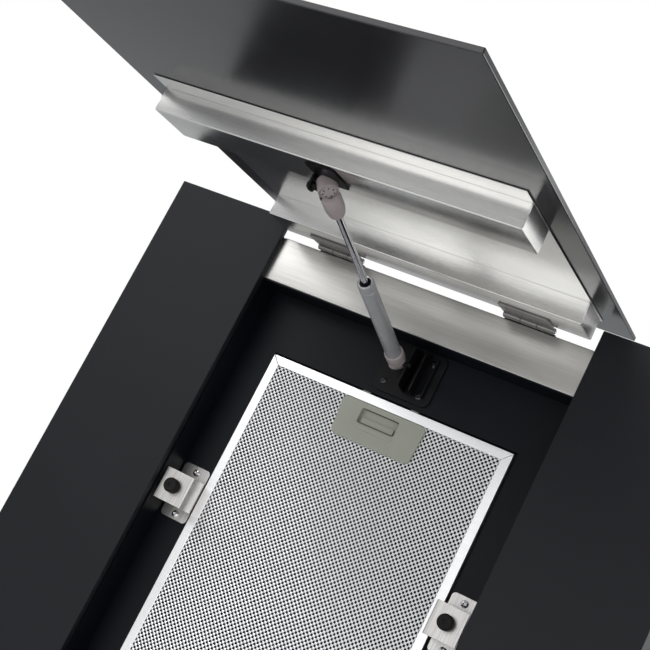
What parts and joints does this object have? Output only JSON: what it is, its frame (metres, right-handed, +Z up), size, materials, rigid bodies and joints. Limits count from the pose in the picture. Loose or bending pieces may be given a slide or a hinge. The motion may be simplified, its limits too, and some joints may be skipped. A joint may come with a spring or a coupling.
{
  "type": "fume extraction hood",
  "caption": "Wall-mounted fume extraction hood with a black front, a filter recess and a hinged glass lid propped open by a gas strut.",
  "frame": {"origin": "middle of the flat back of the blower housing, which stands against the wall, level with the middle of the front's height", "axes": "+X to the right seen from the front, +Y into the wall, +Z up; the front faces -Y"},
  "size_m": [0.598, 0.6989, 0.5577],
  "materials": {
    "black_panel": "satin",
    "black_recess": "satin",
    "black_glass": "polished",
    "steel": "brushed",
    "zinc": "matt galvanised",
    "aluminium": "satin",
    "strut_grey": "satin",
    "socket_plastic": "matt",
    "handle_plastic": "matt",
    "rubber": "matt",
    "lens": "frosted",
    "circuit": "satin"
  },
  "bodies": {
    "hood": {"wing_left": "black_panel", "wing_right": "black_panel", "case_left": "black_panel", "case_right": "black_panel", "hinge_strip": "steel", "recess_tray": "black_recess", "filter_ledge": "black_recess", "control_fascia": "black_panel", "housing": "zinc", "outlet_spigot": "black_recess", "flap_pin": "steel", "cable_gland": "rubber", "blower_scroll": "zinc", "motor_bracket": "zinc", "motor": "zinc", "control_board": "circuit", "terminal_box": "rubber", "lamp_left": "lens", "lamp_right": "lens", "catch_left_bracket": "zinc", "catch_right_bracket": "zinc", "catch_left_buffer": "rubber", "catch_right_buffer": "rubber", "hinge_left_case_leaf": "zinc", "hinge_right_case_leaf": "zinc", "hinge_left_pin": "steel", "hinge_right_pin": "steel", "strut_bracket_lower": "black_recess", "strut_stud_lower": "zinc"},
    "lid": {"lid_glass": "black_glass", "lid_plate": "steel", "lid_rail": "steel", "lid_channel": "steel", "hinge_left_lid_leaf": "zinc", "hinge_right_lid_leaf": "zinc", "strut_bracket_upper": "black_recess", "strut_stud_upper": "zinc"},
    "strut_cylinder": {"strut_tube": "strut_grey", "strut_gland": "rubber", "strut_socket_lower": "socket_plastic"},
    "strut_piston_rod": {"strut_rod": "steel", "strut_piston": "zinc", "strut_socket_upper": "socket_plastic"},
    "filter": {"filter_frame": "aluminium", "filter_mesh": "aluminium", "filter_handle": "handle_plastic"},
    "latch": {"filter_latch": "handle_plastic"},
    "fan": {"motor_shaft": "steel", "impeller": "zinc"},
    "flap_left": {"flap_left": "black_recess"},
    "flap_right": {"flap_right": "black_recess"},
    "button_1": {"button_1": "steel"},
    "button_2": {"button_2": "steel"},
    "button_3": {"button_3": "steel"},
    "button_4": {"button_4": "steel"}
  },
  "joints": [
    {"name": "lid_hinge", "type": "hinge", "parent": "hood", "child": "lid", "pos_m": [0, -0.2054, 0.255], "axis": [-1, 0, 0], "range_deg": [-85.1, 0], "stiffness_Nm_per_rad": 5, "springref_deg": 126.05},
    {"name": "strut_swing", "type": "hinge", "parent": "hood", "child": "strut_cylinder", "pos_m": [-0.004, -0.1914, 0.1815], "axis": [-1, 0, 0], "range_deg": [-97.72, 0]},
    {"name": "strut_slide", "type": "slide", "parent": "strut_cylinder", "child": "strut_piston_rod", "axis": [0, -0.9847, 0.1744], "range_m": [-0.0899, 0]},
    {"name": "filter_tilt", "type": "hinge", "parent": "hood", "child": "filter", "pos_m": [0, -0.1734, -0.174], "axis": [1, 0, 0], "range_deg": [0, 60]},
    {"name": "latch_slide", "type": "slide", "parent": "filter", "child": "latch", "axis": [0, 0, -1], "range_m": [0, 0.005], "stiffness_N_per_m": 400, "springref_m": -0.004},
    {"name": "fan_spin", "type": "hinge", "parent": "hood", "child": "fan", "pos_m": [0, -0.1024, -0.023], "axis": [0, 1, 0], "continuous": true},
    {"name": "flap_left_swing", "type": "hinge", "parent": "hood", "child": "flap_left", "pos_m": [0, -0.0804, 0.1903], "axis": [0, 1, 0], "range_deg": [0, 75]},
    {"name": "flap_right_swing", "type": "hinge", "parent": "hood", "child": "flap_right", "pos_m": [0, -0.0804, 0.1903], "axis": [0, -1, 0], "range_deg": [0, 75]},
    {"name": "button_1_press", "type": "slide", "parent": "hood", "child": "button_1", "axis": [0, 1, 0], "range_m": [0, 0.0015], "stiffness_N_per_m": 400, "springref_m": -0.001},
    {"name": "button_2_press", "type": "slide", "parent": "hood", "child": "button_2", "axis": [0, 1, 0], "range_m": [0, 0.0015], "stiffness_N_per_m": 400, "springref_m": -0.001},
    {"name": "button_3_press", "type": "slide", "parent": "hood", "child": "button_3", "axis": [0, 1, 0], "range_m": [0, 0.0015], "stiffness_N_per_m": 400, "springref_m": -0.001},
    {"name": "button_4_press", "type": "slide", "parent": "hood", "child": "button_4", "axis": [0, 1, 0], "range_m": [0, 0.0015], "stiffness_N_per_m": 400, "springref_m": -0.001}
  ],
  "couplings": [
    {"joint": "strut_swing", "follows": "lid_hinge", "ratio": 1.1481},
    {"joint": "strut_slide", "follows": "lid_hinge", "m_per_rad": 0.060507}
  ]
}
